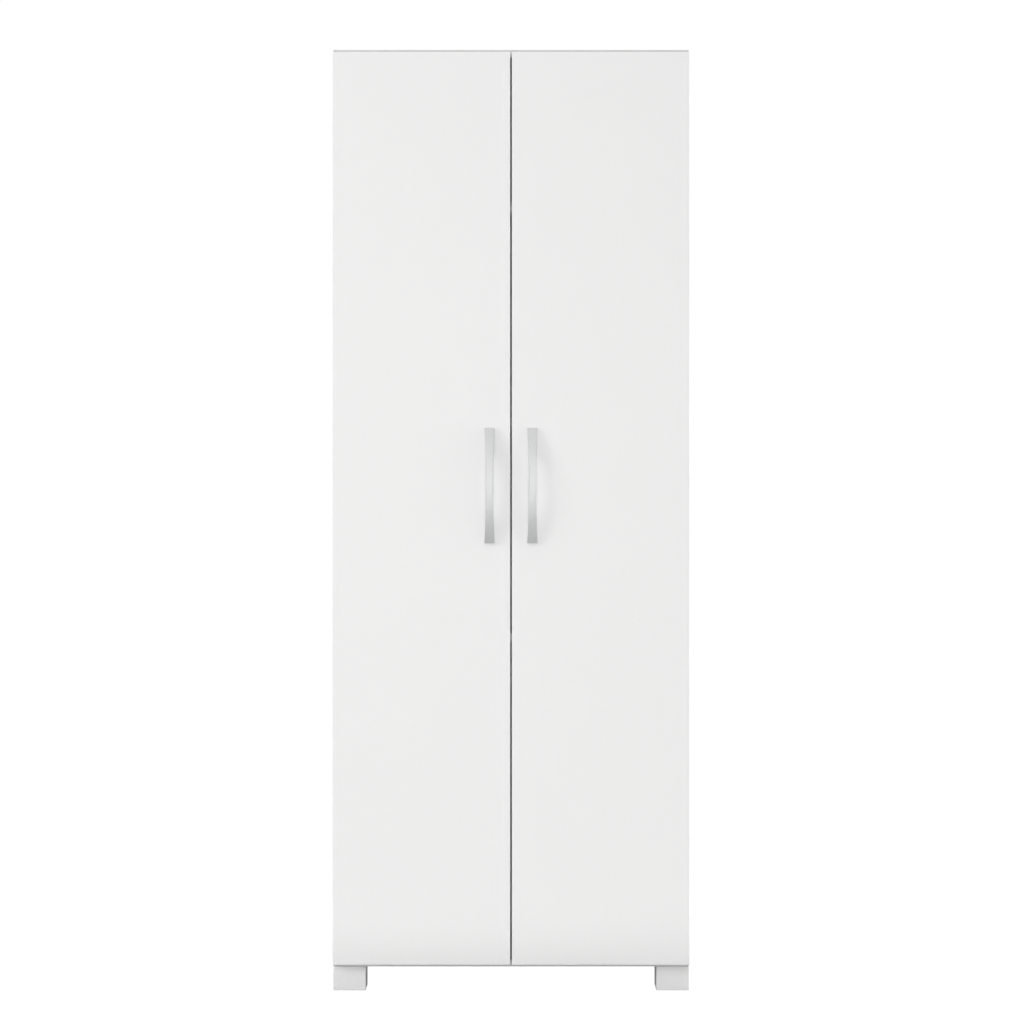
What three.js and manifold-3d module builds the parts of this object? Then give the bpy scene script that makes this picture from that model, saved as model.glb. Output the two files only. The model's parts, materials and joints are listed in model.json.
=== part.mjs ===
// A tall two-door broom cupboard in white foil-faced board.
// Millimetres, +Z up. The doors face -Y, +X is to the right of someone who stands in front.
// The origin is on the floor, under the middle of the whole outline.

import * as THREE from "three";
import { mergeVertices } from "three/addons/utils/BufferGeometryUtils.js";
import Module from "manifold-3d";

const wasm = await Module();
wasm.setup();

// The whole cupboard
const cupboardWidth = 700;
const cupboardHeight = 1852;
const footHeight = 47;
const carcassDepth = 378;
const boardThickness = 15;
const seat = 0.2;
const cutOverrun = 1;
const weldDistance = 0.0001;

// Doors
const doorThickness = 16;
const doorStandoff = 2;
const doorMeetingGap = 3;
const doorTopReveal = 7;
const doorBottomReveal = 6;

// Handles
const handleLength = 226;
const handleProjection = 30;
const handleGrip = 5;
const handleEndWidth = 20.4;
const handleWaistWidth = 13.6;
const handleEndHeight = 7;
const handleFootLength = 31;
const handleHoleSpacing = 192;
const handleInset = 40.5;
const handleCentreHeight = 994;
const handleScrewBoreDepth = 8.6;
const handleArcSteps = 24;

// Handle screws
const handleScrewRadius = 1.9;
const handleScrewClearance = 0.3;
const handleScrewHeadRadius = 4;
const handleScrewHeadHeight = 2.3;
const handleScrewTipGap = 0.6;
const screwSides = 12;

// Feet
const frontFootSide = 64;
const rearFootSide = 42;
const footCornerRadius = 1.5;

// Back
const backThickness = 3;
const backEdgeInset = 2;
const stripFlangeWidth = 20;
const stripWall = 1;
const shelfRearGap = 3;

// Inside
const broomBayWidth = 230;
const topBayHeight = 288;
const innerSetback = 3;
const middleShelfHeight = 687.5;
const adjustableSetback = 20;
const adjustableEndGap = 1;

// Shelf pins and their rows of holes
const pinPitch = 32;
const adjustableLevel = 12;
const firstPinHeight = 20;
const spareLevelsEachWay = 3;
const pinRadius = 2.4;
const pinHoleClearance = 0.3;
const pinHoleDepth = 11;
const pinEndGap = 1;
const pinHeadLength = 8;
const pinHeadWidth = 8;
const pinHeadHeight = 6;
const frontPinRow = 70;
const rearPinRow = 50;
const pinSides = 10;

// Hinges: the door's swing axis, and the link's pin in the arm, both measured in plan
const hingeEndInset = 100;
const hingeUnderMiddleShelf = 62;
const upperHingeShare = 0.3;
const axisFromDoorEdge = 5.8;
const axisFromDoorBack = 9;
const armPinFromAxis = 21;
const armPinBehindAxis = 1;
const linkEndFromAxis = 4.2;
const linkEndBehindAxis = 3.8;

// Hinge cups
const cupRadius = 17.3;
const cupBoreClearance = 0.25;
const cupCentreFromDoorEdge = 22.5;
const cupDepth = 11.8;
const cupWall = 0.8;
const cupFloor = 0.6;
const cupFlangeRadius = 18.4;
const cupFlangeThickness = 0.6;
const cupEarSpan = 56;
const cupEarWidth = 13;
const cupEarOffset = 9.5;
const cupEarCorner = 5;
const cupSides = 24;

// Hinge links
const linkThickness = 1.8;
const linkHeight = 8;
const linkBow = 2;
const linkEyeRadius = 2.4;
const linkEndRadius = 1.2;
const linkSteps = 8;
const eyeSides = 16;

// Hinge arms
const armPinRadius = 1.2;
const armPinClearance = 0.25;
const armWidth = 16;
const armNoseRadius = 2.7;
const armSlotGap = 0.4;
const armNeckLength = 6;
const armShoulderLength = 5;
const armTopReach = 15.4;
const armBottomReach = 4.4;
const armTailBehindScrews = 18;

// Hinge plates
const plateScrewLine = 37;
const plateSpan = 52;
const plateWidth = 20;
const plateThickness = 1.8;
const plateCorner = 4;
const plateRibWidth = 13;
const plateRibLength = 34;

// Levels, worked out from the floor upwards
const bottomPanelBottom = footHeight + seat;
const bottomPanelTop = bottomPanelBottom + boardThickness;
const topPanelBottom = cupboardHeight - boardThickness;
const sideBottom = bottomPanelTop + seat;
const sideTop = topPanelBottom - seat;
const topShelfHeight = topPanelBottom - topBayHeight - boardThickness;
const doorBottom = bottomPanelBottom + doorBottomReveal;
const doorTop = cupboardHeight - doorTopReveal;
const middleShelfTop = middleShelfHeight + boardThickness;
const adjustablePinHeight = middleShelfTop + firstPinHeight + adjustableLevel * pinPitch;
const adjustableShelfBottom = adjustablePinHeight + pinRadius + seat;
const adjustableShelfTop = adjustableShelfBottom + boardThickness;

// Planes, worked out from the front of the handles to the rear of the back strip
const totalDepth = handleProjection + doorThickness + doorStandoff + carcassDepth
  + seat + backThickness + seat + stripWall;
const doorFront = handleProjection - totalDepth / 2;
const doorBack = doorFront + doorThickness;
const carcassFront = doorBack + doorStandoff;
const carcassRear = carcassFront + carcassDepth;
const backFront = carcassRear + seat;
const backRear = backFront + backThickness;
const shelfRear = carcassRear - shelfRearGap;

// Distances from the middle plane
const halfWidth = cupboardWidth / 2;
const innerHalf = halfWidth - boardThickness;
const dividerLeft = broomBayWidth - innerHalf;
const dividerRight = dividerLeft + boardThickness;
const handleCentre = doorMeetingGap / 2 + handleInset;

// Hinge layout, right side, as distances from the swing axis
const axisX = halfWidth - axisFromDoorEdge;
const axisY = doorBack - axisFromDoorBack;
const cupCentreX = halfWidth - cupCentreFromDoorEdge;
const sideFace = innerHalf - axisX;
const plateCentreY = carcassFront + plateScrewLine - axisY;
const plateTop = sideFace - seat - plateThickness;
const armBottom = sideFace - armBottomReach;
const armTop = sideFace - armTopReach;
const hingeHeights = {
  lowest: doorBottom + hingeEndInset,
  lower: middleShelfHeight - hingeUnderMiddleShelf,
  upper: adjustableShelfTop + upperHingeShare * (topShelfHeight - adjustableShelfTop),
  highest: doorTop - hingeEndInset,
};

const whiteBoard = new THREE.MeshStandardMaterial({ color: 0xeeeeee, roughness: 0.35, metalness: 0 });
const whiteHardboard = new THREE.MeshStandardMaterial({ color: 0xe6e6e2, roughness: 0.6, metalness: 0 });
const whitePlastic = new THREE.MeshStandardMaterial({ color: 0xf0f0ee, roughness: 0.5, metalness: 0 });
const satinSilver = new THREE.MeshStandardMaterial({ color: 0xc4c6c8, roughness: 0.32, metalness: 1 });
const nickelSteel = new THREE.MeshStandardMaterial({ color: 0xb9b7b1, roughness: 0.3, metalness: 1 });

const cupboard = new THREE.Group();

// Turns a closed geometry into a solid that can be joined and cut.
function solidFrom(geometry) {
  const bare = geometry.clone();
  bare.deleteAttribute("normal");
  bare.deleteAttribute("uv");
  const merged = mergeVertices(bare, weldDistance);
  const vertProperties = new Float32Array(merged.attributes.position.array);
  const triVerts = new Uint32Array(merged.index.array);
  return new wasm.Manifold(new wasm.Mesh({ numProp: 3, vertProperties, triVerts }));
}

function geometryFrom(solid) {
  const mesh = solid.getMesh();
  const geometry = new THREE.BufferGeometry();
  const points = new Float32Array(mesh.vertProperties);
  geometry.setAttribute("position", new THREE.BufferAttribute(points, 3));
  geometry.setIndex(new THREE.BufferAttribute(new Uint32Array(mesh.triVerts), 1));
  geometry.computeVertexNormals();
  return geometry;
}

function joined(geometries) {
  const solids = geometries.map(solidFrom);
  return geometryFrom(solids.reduce((whole, solid) => whole.add(solid)));
}

function cutAway(geometry, tools) {
  const solids = tools.map(solidFrom);
  return geometryFrom(solids.reduce((whole, tool) => whole.subtract(tool), solidFrom(geometry)));
}

function shared(geometry, other) {
  return geometryFrom(solidFrom(geometry).intersect(solidFrom(other)));
}

// A box between two opposite corners.
function block(low, high) {
  const size = high.map((value, axis) => value - low[axis]);
  const middle = high.map((value, axis) => (value + low[axis]) / 2);
  return new THREE.BoxGeometry(...size).translate(...middle);
}

// A cylinder along X, Y or Z that starts at a point and runs in the positive direction.
function rod(direction, radius, length, sides, start) {
  const geometry = new THREE.CylinderGeometry(radius, radius, length, sides);
  if (direction === "x") geometry.rotateZ(-Math.PI / 2);
  if (direction === "z") geometry.rotateX(Math.PI / 2);
  const middle = new THREE.Vector3(...start);
  middle[direction] += length / 2;
  return geometry.translate(...middle);
}

// A plan outline in X and Y, raised evenly above and below a level.
function raisedOutline(shape, height, level = 0) {
  const options = { depth: height, bevelEnabled: false, curveSegments: 6 };
  return new THREE.ExtrudeGeometry(shape, options).translate(0, 0, level - height / 2);
}

function roundedRectangle(width, height, radius) {
  const shape = new THREE.Shape();
  const right = width / 2;
  const top = height / 2;
  shape.moveTo(radius - right, -top);
  shape.lineTo(right - radius, -top);
  shape.absarc(right - radius, radius - top, radius, -Math.PI / 2, 0);
  shape.lineTo(right, top - radius);
  shape.absarc(right - radius, top - radius, radius, 0, Math.PI / 2);
  shape.lineTo(radius - right, top);
  shape.absarc(radius - right, top - radius, radius, Math.PI / 2, Math.PI);
  shape.lineTo(-right, radius - top);
  shape.absarc(radius - right, radius - top, radius, Math.PI, Math.PI * 1.5);
  return shape;
}

function addPiece(name, geometry, material, place = [0, 0, 0]) {
  const mesh = new THREE.Mesh(geometry, material);
  mesh.name = name;
  mesh.position.set(...place);
  cupboard.add(mesh);
  return mesh;
}

// The heights of the rows of shelf-pin holes around the adjustable shelf.
function pinHoleHeights() {
  const heights = [];
  for (let level = -spareLevelsEachWay; level <= spareLevelsEachWay; level += 1) {
    heights.push(adjustablePinHeight + level * pinPitch);
  }
  return heights;
}

function pinRows() {
  return { front: carcassFront + frontPinRow, rear: shelfRear - rearPinRow };
}

// Blind holes that open on a board's face at faceX and run into the board.
function pinHoles(faceX, intoBoard) {
  const radius = pinRadius + pinHoleClearance;
  const startX = intoBoard > 0 ? faceX - cutOverrun : faceX - pinHoleDepth;
  const holes = [];
  for (const y of Object.values(pinRows())) {
    for (const z of pinHoleHeights()) {
      holes.push(rod("x", radius, pinHoleDepth + cutOverrun, pinSides, [startX, y, z]));
    }
  }
  return holes;
}

function addCarcass() {
  const bottom = block(
    [-halfWidth, carcassFront, bottomPanelBottom],
    [halfWidth, carcassRear, bottomPanelTop],
  );
  addPiece("bottom_panel", bottom, whiteBoard);
  const top = block(
    [-halfWidth, carcassFront, topPanelBottom],
    [halfWidth, carcassRear, cupboardHeight],
  );
  addPiece("top_panel", top, whiteBoard);
  const left = block([-halfWidth, carcassFront, sideBottom], [-innerHalf, carcassRear, sideTop]);
  addPiece("left_side", left, whiteBoard);
  const right = block([innerHalf, carcassFront, sideBottom], [halfWidth, carcassRear, sideTop]);
  addPiece("right_side", cutAway(right, pinHoles(innerHalf, 1)), whiteBoard);
  const dividerTop = topShelfHeight - seat;
  const divider = block(
    [dividerLeft, carcassFront + innerSetback, sideBottom],
    [dividerRight, shelfRear, dividerTop],
  );
  addPiece("divider", cutAway(divider, pinHoles(dividerRight, -1)), whiteBoard);
}

function addShelves() {
  const topShelf = block(
    [seat - innerHalf, carcassFront + innerSetback, topShelfHeight],
    [innerHalf - seat, shelfRear, topShelfHeight + boardThickness],
  );
  addPiece("top_shelf", topShelf, whiteBoard);
  const middleShelf = block(
    [dividerRight + seat, carcassFront, middleShelfHeight],
    [innerHalf - seat, shelfRear, middleShelfTop],
  );
  addPiece("middle_shelf", middleShelf, whiteBoard);
  const adjustableShelf = block(
    [dividerRight + adjustableEndGap, carcassFront + adjustableSetback, adjustableShelfBottom],
    [innerHalf - adjustableEndGap, shelfRear, adjustableShelfTop],
  );
  addPiece("adjustable_shelf", adjustableShelf, whiteBoard);
}

// A round peg with a square head whose flat top carries the shelf.
function shelfPin(faceX, intoBoard) {
  const pegLength = pinHoleDepth - pinEndGap;
  const headStart = intoBoard > 0 ? faceX - seat - pinHeadLength : faceX + seat;
  const pegStart = intoBoard > 0 ? faceX - seat - cutOverrun : faceX + seat + cutOverrun - pegLength;
  const head = block(
    [headStart, -pinHeadWidth / 2, pinRadius - pinHeadHeight],
    [headStart + pinHeadLength, pinHeadWidth / 2, pinRadius],
  );
  return joined([head, rod("x", pinRadius, pegLength, pinSides, [pegStart, 0, 0])]);
}

function addShelfPins() {
  for (const [row, y] of Object.entries(pinRows())) {
    const place = [0, y, adjustablePinHeight];
    addPiece(`left_${row}_shelf_pin`, shelfPin(dividerRight, -1), nickelSteel, place);
    addPiece(`right_${row}_shelf_pin`, shelfPin(innerHalf, 1), nickelSteel, place);
  }
}

// The H-shaped strip that grips the inner edges of both back sheets.
function joinStrip() {
  const flangeHalf = stripFlangeWidth / 2;
  const stripFront = backFront - seat - stripWall;
  const stripRear = backRear + seat + stripWall;
  const frontFlange = block([-flangeHalf, stripFront, sideBottom], [flangeHalf, backFront - seat, sideTop]);
  const rearFlange = block([-flangeHalf, backRear + seat, sideBottom], [flangeHalf, stripRear, sideTop]);
  const web = block([-stripWall / 2, stripFront, sideBottom], [stripWall / 2, stripRear, sideTop]);
  return joined([rearFlange, frontFlange, web]);
}

// Two sheets that lie on the rear edges of the carcass, held together by the strip.
function addBack() {
  const low = bottomPanelBottom + backEdgeInset;
  const high = cupboardHeight - backEdgeInset;
  const sheetInner = stripWall / 2 + seat;
  const sheetOuter = halfWidth - backEdgeInset;
  const left = block([-sheetOuter, backFront, low], [-sheetInner, backRear, high]);
  addPiece("back_panel_left", left, whiteHardboard);
  const right = block([sheetInner, backFront, low], [sheetOuter, backRear, high]);
  addPiece("back_panel_right", right, whiteHardboard);
  addPiece("back_joint_strip", joinStrip(), whitePlastic);
}

function addFeet() {
  for (const [sideName, side] of [["left", -1], ["right", 1]]) {
    const sides = { front: frontFootSide, rear: rearFootSide };
    for (const [endName, footSide] of Object.entries(sides)) {
      const outline = roundedRectangle(footSide, footSide, footCornerRadius);
      const x = side * (halfWidth - footSide / 2);
      const y = endName === "front" ? carcassFront + footSide / 2 : carcassRear - footSide / 2;
      const foot = raisedOutline(outline, footHeight);
      addPiece(`${endName}_${sideName}_foot`, foot, whiteBoard, [x, y, footHeight / 2]);
    }
  }
}

// The places of the two handle screws, above and below the middle of the handle.
function handleScrewHeights() {
  const reach = handleHoleSpacing / 2;
  return { lower: handleCentreHeight - reach, upper: handleCentreHeight + reach };
}

function addDoors() {
  const boreRadius = cupRadius + cupBoreClearance;
  const boreDepth = cupDepth + cupBoreClearance;
  const screwHole = handleScrewRadius + handleScrewClearance;
  for (const [sideName, side] of [["left", -1], ["right", 1]]) {
    const edges = [side * doorMeetingGap / 2, side * halfWidth];
    const board = block([Math.min(...edges), doorFront, doorBottom], [Math.max(...edges), doorBack, doorTop]);
    const tools = Object.values(hingeHeights).map((height) => {
      const start = [side * cupCentreX, doorBack - boreDepth, height];
      return rod("y", boreRadius, boreDepth + cutOverrun, cupSides, start);
    });
    for (const height of Object.values(handleScrewHeights())) {
      const start = [side * handleCentre, doorFront - cutOverrun, height];
      tools.push(rod("y", screwHole, doorThickness + 2 * cutOverrun, screwSides, start));
    }
    addPiece(`${sideName}_door`, cutAway(board, tools), whiteBoard);
  }
}

// How far an arc that rises to a height over a half span stands out at a distance from its middle.
function arcHeight(rise, halfSpan, distance) {
  const radius = (halfSpan * halfSpan + rise * rise) / (2 * rise);
  return Math.sqrt(radius * radius - distance * distance) - (radius - rise);
}

// The bow seen from the side: X runs along the handle, Y stands out from the door.
function handleSideOutline() {
  const half = handleLength / 2;
  const innerHalfSpan = half - handleFootLength;
  const innerRise = handleProjection - handleGrip;
  const shape = new THREE.Shape();
  shape.moveTo(-half, seat);
  for (let step = 0; step <= handleArcSteps; step += 1) {
    const along = half * (2 * step / handleArcSteps - 1);
    const height = handleEndHeight + arcHeight(handleProjection - handleEndHeight, half, along);
    shape.lineTo(along, height);
  }
  shape.lineTo(half, seat);
  for (let step = 0; step <= handleArcSteps; step += 1) {
    const along = innerHalfSpan * (1 - 2 * step / handleArcSteps);
    shape.lineTo(along, seat + arcHeight(innerRise - seat, innerHalfSpan, along));
  }
  return shape;
}

// The bow seen from the front: wide at both ends, drawn in at the waist.
function handleFrontOutline() {
  const half = handleLength / 2;
  const end = handleEndWidth / 2;
  const waist = handleWaistWidth / 2;
  const shape = new THREE.Shape();
  for (const side of [1, -1]) {
    for (let step = 0; step <= handleArcSteps; step += 1) {
      const along = side * half * (2 * step / handleArcSteps - 1);
      const width = end - arcHeight(end - waist, half, along);
      if (step === 0 && side === 1) shape.moveTo(side * width, along);
      else shape.lineTo(side * width, along);
    }
  }
  return shape;
}

function handleGeometry() {
  const options = { depth: handleEndWidth + 2 * cutOverrun, bevelEnabled: false };
  const sideView = new THREE.ExtrudeGeometry(handleSideOutline(), options);
  sideView.translate(0, 0, -options.depth / 2);
  sideView.rotateY(Math.PI / 2);
  sideView.rotateX(Math.PI);
  const frontOptions = { depth: handleProjection + 2 * cutOverrun, bevelEnabled: false };
  const frontView = new THREE.ExtrudeGeometry(handleFrontOutline(), frontOptions);
  frontView.translate(0, 0, -cutOverrun);
  frontView.rotateX(Math.PI / 2);
  const bow = shared(sideView, frontView);
  const boreRadius = handleScrewRadius + handleScrewClearance;
  const bores = [-handleHoleSpacing / 2, handleHoleSpacing / 2].map((z) => (
    rod("y", boreRadius, handleScrewBoreDepth + cutOverrun, screwSides, [0, -handleScrewBoreDepth, z])
  ));
  return cutAway(bow, bores);
}

// A pan-headed screw along Y, its head on the door's inner face.
function handleScrew() {
  const tip = doorFront - handleScrewBoreDepth + handleScrewTipGap;
  const headStart = doorBack + seat;
  const shank = rod("y", handleScrewRadius, headStart - tip + seat, screwSides, [0, tip, 0]);
  const head = rod("y", handleScrewHeadRadius, handleScrewHeadHeight, screwSides, [0, headStart, 0]);
  return joined([shank, head]);
}

function addHandles() {
  for (const [sideName, side] of [["left", -1], ["right", 1]]) {
    const x = side * handleCentre;
    addPiece(`${sideName}_handle`, handleGeometry(), satinSilver, [x, doorFront, handleCentreHeight]);
    for (const [endName, height] of Object.entries(handleScrewHeights())) {
      addPiece(`${sideName}_handle_${endName}_screw`, handleScrew(), nickelSteel, [x, 0, height]);
    }
  }
}

// The pressed cup that is sunk in the door, with a flange and two ears on the door's inner face.
function hingeCup() {
  const centre = cupCentreX - axisX;
  const back = axisFromDoorBack;
  const flangeTop = back + seat + cupFlangeThickness;
  const flangeStart = [centre, back + seat, 0];
  const bowlStart = [centre, back - cupDepth, 0];
  const bowl = rod("y", cupRadius, cupDepth + seat + cupFlangeThickness, cupSides, bowlStart);
  const flange = rod("y", cupFlangeRadius, cupFlangeThickness, cupSides, flangeStart);
  const earOptions = { depth: cupFlangeThickness, bevelEnabled: false, curveSegments: 4 };
  const ears = new THREE.ExtrudeGeometry(roundedRectangle(cupEarWidth, cupEarSpan, cupEarCorner), earOptions);
  ears.rotateX(Math.PI / 2);
  ears.translate(centre - cupEarOffset, flangeTop, 0);
  const wellDepth = cupDepth - cupFloor + back + cutOverrun;
  const well = rod("y", cupRadius - cupWall, wellDepth, cupSides, [centre, back - cupDepth + cupFloor, 0]);
  return cutAway(joined([bowl, flange, ears]), [well]);
}

// The hooked link: an eye round the arm's pin, and a rounded end in the cup.
function hingeLink() {
  const eye = new THREE.Vector2(-armPinFromAxis, armPinBehindAxis);
  const end = new THREE.Vector2(-linkEndFromAxis, linkEndBehindAxis);
  const along = end.clone().sub(eye);
  const across = new THREE.Vector2(along.y, -along.x).normalize();
  const edge = (share, offset) => {
    const bow = 4 * linkBow * share * (1 - share) + offset;
    return eye.clone().addScaledVector(along, share).addScaledVector(across, bow);
  };
  const shape = new THREE.Shape();
  const first = edge(0, linkThickness / 2);
  shape.moveTo(first.x, first.y);
  for (let step = 1; step <= linkSteps; step += 1) {
    const point = edge(step / linkSteps, linkThickness / 2);
    shape.lineTo(point.x, point.y);
  }
  for (let step = linkSteps; step >= 0; step -= 1) {
    const point = edge(step / linkSteps, -linkThickness / 2);
    shape.lineTo(point.x, point.y);
  }
  const strip = raisedOutline(shape, linkHeight);
  const low = -linkHeight / 2;
  const eyeBarrel = rod("z", linkEyeRadius, linkHeight, eyeSides, [eye.x, eye.y, low]);
  const endBarrel = rod("z", linkEndRadius, linkHeight, eyeSides, [end.x, end.y, low]);
  const boreStart = [eye.x, eye.y, low - cutOverrun];
  const boreLength = linkHeight + 2 * cutOverrun;
  const bore = rod("z", armPinRadius + armPinClearance, boreLength, eyeSides, boreStart);
  return cutAway(joined([strip, eyeBarrel, endBarrel]), [bore]);
}

// The arm: a forked nose that holds the link's pin, a neck through the cup's mouth, and a body
// that lies along the mounting plate.
function hingeArm() {
  const pin = { x: -armPinFromAxis, y: armPinBehindAxis };
  const neckEnd = pin.y + armNeckLength;
  const bodyStart = neckEnd + armShoulderLength;
  const tail = plateCentreY + armTailBehindScrews;
  const shape = new THREE.Shape();
  shape.moveTo(armTop, neckEnd);
  shape.lineTo(pin.x - armNoseRadius, pin.y);
  shape.absarc(pin.x, pin.y, armNoseRadius, Math.PI, 2 * Math.PI);
  shape.lineTo(pin.x + armNoseRadius, neckEnd);
  shape.lineTo(armBottom, bodyStart);
  shape.lineTo(armBottom, tail);
  shape.lineTo(armTop + armShoulderLength, tail);
  shape.lineTo(armTop, tail - armShoulderLength);
  const slotHeight = linkHeight + 2 * armSlotGap;
  const slot = block(
    [pin.x - armNoseRadius - cutOverrun, pin.y - armNoseRadius - cutOverrun, -slotHeight / 2],
    [pin.x + armNoseRadius + cutOverrun, pin.y + linkEyeRadius + armSlotGap, slotHeight / 2],
  );
  const forked = cutAway(raisedOutline(shape, armWidth), [slot]);
  const pinRod = rod("z", armPinRadius, armWidth - seat, eyeSides, [pin.x, pin.y, (seat - armWidth) / 2]);
  return joined([forked, pinRod]);
}

// The mounting plate: two wings on the side panel and a rib that carries the arm.
function hingePlate() {
  const options = { depth: plateThickness, bevelEnabled: false, curveSegments: 4 };
  const wings = new THREE.ExtrudeGeometry(roundedRectangle(plateSpan, plateWidth, plateCorner), options);
  wings.rotateY(Math.PI / 2);
  wings.translate(plateTop, plateCentreY, 0);
  const rib = block(
    [armBottom + seat, plateCentreY - plateRibLength / 2, -plateRibWidth / 2],
    [plateTop + plateThickness / 2, plateCentreY + plateRibLength / 2, plateRibWidth / 2],
  );
  return joined([wings, rib]);
}

// A hinge is the same above and below its middle, so half a turn about the depth axis makes a
// right-hand hinge into a left-hand one.
function addHinges() {
  const pieces = { cup: hingeCup(), link: hingeLink(), arm: hingeArm(), plate: hingePlate() };
  for (const [sideName, side] of [["left", -1], ["right", 1]]) {
    for (const [levelName, height] of Object.entries(hingeHeights)) {
      for (const [pieceName, geometry] of Object.entries(pieces)) {
        const name = `${sideName}_${levelName}_hinge_${pieceName}`;
        const mesh = addPiece(name, geometry, nickelSteel, [side * axisX, axisY, height]);
        if (side < 0) mesh.rotation.y = Math.PI;
      }
    }
  }
}

addCarcass();
addShelves();
addShelfPins();
addBack();
addFeet();
addDoors();
addHandles();
addHinges();

export default cupboard;
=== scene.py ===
# A tall white broom cupboard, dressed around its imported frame.
# Metres, +Z up. The doors face -Y, +X is to the right of someone who stands in front.
import json
from contextlib import contextmanager
from math import cos, pi, radians, sin, sqrt

import bmesh
import bpy
from mathutils import Matrix, Vector


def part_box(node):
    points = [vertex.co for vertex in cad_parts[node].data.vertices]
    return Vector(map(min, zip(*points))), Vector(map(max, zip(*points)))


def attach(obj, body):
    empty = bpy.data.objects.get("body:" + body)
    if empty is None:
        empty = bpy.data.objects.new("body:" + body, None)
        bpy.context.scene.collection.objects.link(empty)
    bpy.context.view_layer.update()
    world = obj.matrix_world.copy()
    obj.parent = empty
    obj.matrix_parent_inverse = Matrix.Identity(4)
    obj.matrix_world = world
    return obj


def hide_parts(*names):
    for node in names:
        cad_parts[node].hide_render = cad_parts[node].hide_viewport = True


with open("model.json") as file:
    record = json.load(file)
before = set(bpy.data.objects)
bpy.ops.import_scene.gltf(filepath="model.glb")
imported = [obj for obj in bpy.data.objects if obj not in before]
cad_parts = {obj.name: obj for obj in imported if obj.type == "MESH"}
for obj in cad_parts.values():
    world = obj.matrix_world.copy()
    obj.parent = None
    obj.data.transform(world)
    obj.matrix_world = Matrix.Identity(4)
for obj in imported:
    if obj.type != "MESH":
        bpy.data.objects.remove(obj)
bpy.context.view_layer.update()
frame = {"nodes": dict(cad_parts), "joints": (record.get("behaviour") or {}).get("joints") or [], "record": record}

MM = 0.001
BODY_OF = {
    node: body
    for body, nodes in frame["record"]["behaviour"]["bodies"].items()
    for node in nodes
}
SIDES = {"left": -1, "right": 1}
ENDS = ("front", "rear")
X, Y, Z = range(3)

# The camera of the photograph, in front of the doors and at half height
CAMERA_PLACE = (0.0019, -5.285, 0.942)
CAMERA_LENS = 91.37
SENSOR_WIDTH = 36
EXPOSURE = -0.165

# The lamp, to the left of the camera
LIGHT_TARGET = Vector((0, -0.19, 0.99))
LAMP_TURN = radians(58)
LAMP_RISE = radians(18)
LAMP_DISTANCE = 6.0
LAMP_WIDTH = 3.0
LAMP_HEIGHT = 1.0
LAMP_POWER = 112

# The room's light by direction: how bright each part is, and where it fades in along an axis
ROOM_SIDE = 0.36
ROOM_BEHIND_GAIN = 0.35
ROOM_LOW_RIGHT_GAIN = 1.6
ROOM_SLANT = 0.08
ROOM_DIP = 0.66
ROOM_OVERHEAD_SHARE = 0.85
ROOM_BELOW = 0.45
ROOM_CENTRE_GAIN = 12.6
ROOM_UPPER_GAIN = 1.12
AHEAD_FADE = (-0.3, 0.8)
CENTRE_FADE = (0.975, 0.998)
RING_FADE = (0.35, 0.65)
UPPER_FADE = (0.36, 0.66)
OVERHEAD_FADE = (0.8, 1.0)
BEHIND_FADE = (-0.1, 0.3)
RIGHT_FADE = (0.45, 0.85)
LOW_FADE = (0.1, 0.4)
BELOW_FADE = (0.14, 0.54)

# Backdrop and floor
BACKDROP_GLOW = 1.15
FLOOR_SIZE = 2.0
FLOOR_DROP = 0.2 * MM
FLOOR_TONE = 0.58
FLOOR_BOUNCE = 0.04
FLOOR_BOUNCE_FADE = (0.1, 0.5)
FLOOR_GLOW = 1.24
FLOOR_GLOW_SHARE = 0.9
FLOOR_RIM_FADE = (0.3, 0.8)

# The numbers of a Mix node's colour sockets, whose names its other kinds share
MIX_SHARE = 0
MIX_FIRST = 6
MIX_SECOND = 7
MIX_RESULT = 2

# Rounding of edges
DOOR_EDGE = 0.9 * MM
BOARD_EDGE = 0.5 * MM
FOOT_EDGE = 1.4 * MM
SHEET_EDGE = 0.3 * MM
SMOOTH_ANGLE = radians(35)
SHARP_ANGLE = radians(30)

# How places and surfaces are told apart
SAME_PLACE = 0.01 * MM
ALONG_SHARE = 0.99
SURFACE_DEPTH = 1.5 * MM
SQUARE_ON = 0.9
HARDLY_TURNED = 0.02

# How far a tool reaches past the surface that it cuts, or into what it is fused with
OVERRUN = 1 * MM

# Facets round small round parts
NAIL_SIDES = 14
BORE_SIDES = 20
PIN_SIDES = 24
SCREW_SIDES = 28
COVER_SIDES = 40
CUP_SIDES = 56
CUP_CORNER_STEPS = 5

# Bores in the doors and the pin holes
CUP_BORE_RADIUS = 17.55 * MM
CUP_BORE_DEPTH = 12.05 * MM
HANDLE_BORE_RADIUS = 2.2 * MM
PIN_HOLE_RADIUS = 2.7 * MM
PIN_HOLE_DEPTH = 11 * MM
PIN_PITCH = 32 * MM
SPARE_LEVELS = 3

# Handles
HANDLE_LENGTH = 226 * MM
HANDLE_PROJECTION = 30 * MM
HANDLE_GRIP = 5 * MM
HANDLE_SEAT = 0.2 * MM
HANDLE_END_WIDTH = 20.4 * MM
HANDLE_WAIST_WIDTH = 13.6 * MM
HANDLE_END_HEIGHT = 7 * MM
HANDLE_FOOT_LENGTH = 31 * MM
HANDLE_HALF = HANDLE_LENGTH / 2
HANDLE_BOW_HALF = HANDLE_HALF - HANDLE_FOOT_LENGTH
HANDLE_SCREW_SPACING = 192 * MM
HANDLE_SCREW_DEPTH = 8.6 * MM
HANDLE_EDGE = 0.8 * MM
HANDLE_BOW_STEPS = 56
HANDLE_FOOT_PITCH = 6 * MM

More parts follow.
